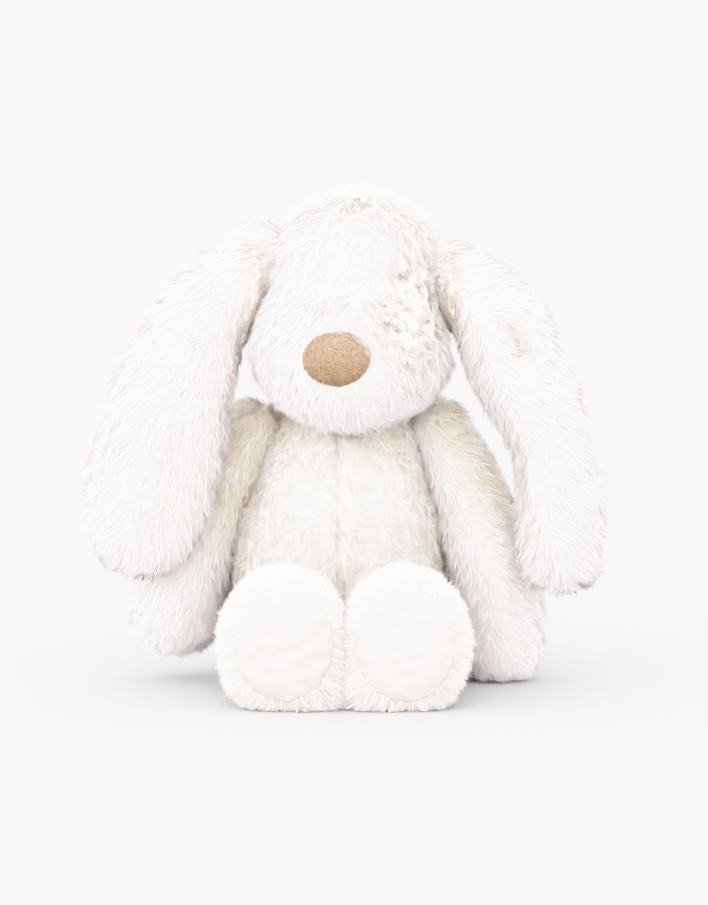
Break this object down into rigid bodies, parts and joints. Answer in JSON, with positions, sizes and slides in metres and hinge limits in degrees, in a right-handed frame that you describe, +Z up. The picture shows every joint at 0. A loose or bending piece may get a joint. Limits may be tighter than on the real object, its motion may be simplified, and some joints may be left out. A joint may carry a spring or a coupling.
{
  "type": "stuffed bunny rabbit",
  "caption": "Sitting plush rabbit with long floppy ears, a soft pile nose and round velour soles; head, ears, arms and legs move on sewn joints.",
  "frame": {"origin": "middle of the flat seat, on the surface the toy sits on", "axes": "+Z up, the toy faces -Y, +X is the toy's own left side"},
  "size_m": [0.2531, 0.1743, 0.2445],
  "materials": {
    "head_plush": "long soft pile, brushed",
    "body_plush": "long soft pile, tufted",
    "limb_plush": "long soft pile, tufted",
    "ear_plush": "long soft pile, combed down",
    "sole_velour": "short smooth velour",
    "nose_pile": "short curly pile",
    "filling": "loose polyester fibre",
    "pouch_cloth": "plain woven cloth"
  },
  "bodies": {
    "torso": {"belly_panel_left": "body_plush", "belly_panel_right": "body_plush", "back_panel_left": "body_plush", "back_panel_right": "body_plush", "seat_panel": "body_plush", "torso_stuffing": "filling", "pellet_pouch": "pouch_cloth", "tail_cover": "body_plush", "tail_stuffing": "filling"},
    "head": {"forehead_gusset": "head_plush", "face_panel_left": "head_plush", "face_panel_right": "head_plush", "chin_panel": "head_plush", "head_back_panel_left": "head_plush", "head_back_panel_right": "head_plush", "head_stuffing": "filling", "nose_cover": "nose_pile", "nose_padding": "filling"},
    "ear_left": {"ear_left_front_panel": "ear_plush", "ear_left_back_panel": "ear_plush", "ear_left_filling": "filling"},
    "ear_right": {"ear_right_front_panel": "ear_plush", "ear_right_back_panel": "ear_plush", "ear_right_filling": "filling"},
    "arm_left": {"arm_left_outer_panel": "limb_plush", "arm_left_inner_panel": "limb_plush", "arm_left_stuffing": "filling"},
    "arm_right": {"arm_right_outer_panel": "limb_plush", "arm_right_inner_panel": "limb_plush", "arm_right_stuffing": "filling"},
    "leg_left": {"leg_left_outer_panel": "limb_plush", "leg_left_inner_panel": "limb_plush", "leg_left_stuffing": "filling", "foot_left_pad": "sole_velour"},
    "leg_right": {"leg_right_outer_panel": "limb_plush", "leg_right_inner_panel": "limb_plush", "leg_right_stuffing": "filling", "foot_right_pad": "sole_velour"}
  },
  "joints": [
    {"name": "head_nod", "type": "hinge", "parent": "torso", "child": "head", "pos_m": [0, -0.008, 0.15], "axis": [1, 0, 0], "range_deg": [-30, 0]},
    {"name": "ear_left_lift", "type": "hinge", "parent": "head", "child": "ear_left", "pos_m": [0.041, -0.026, 0.211], "axis": [0, -1, 0], "range_deg": [0, 75]},
    {"name": "ear_right_lift", "type": "hinge", "parent": "head", "child": "ear_right", "pos_m": [-0.038, -0.026, 0.213], "axis": [0, 1, 0], "range_deg": [0, 75]},
    {"name": "arm_left_lift", "type": "hinge", "parent": "torso", "child": "arm_left", "pos_m": [0.046, -0.003, 0.127], "axis": [0, -1, 0], "range_deg": [0, 65]},
    {"name": "arm_right_lift", "type": "hinge", "parent": "torso", "child": "arm_right", "pos_m": [-0.046, -0.003, 0.127], "axis": [0, 1, 0], "range_deg": [0, 65]},
    {"name": "leg_left_lift", "type": "hinge", "parent": "torso", "child": "leg_left", "pos_m": [0.03, -0.027, 0.031], "axis": [-1, 0, 0], "range_deg": [-45, 20], "stiffness_Nm_per_rad": 0.15, "springref_deg": 3.44},
    {"name": "leg_right_lift", "type": "hinge", "parent": "torso", "child": "leg_right", "pos_m": [-0.03, -0.027, 0.031], "axis": [-1, 0, 0], "range_deg": [-45, 20], "stiffness_Nm_per_rad": 0.15, "springref_deg": 3.44}
  ]
}
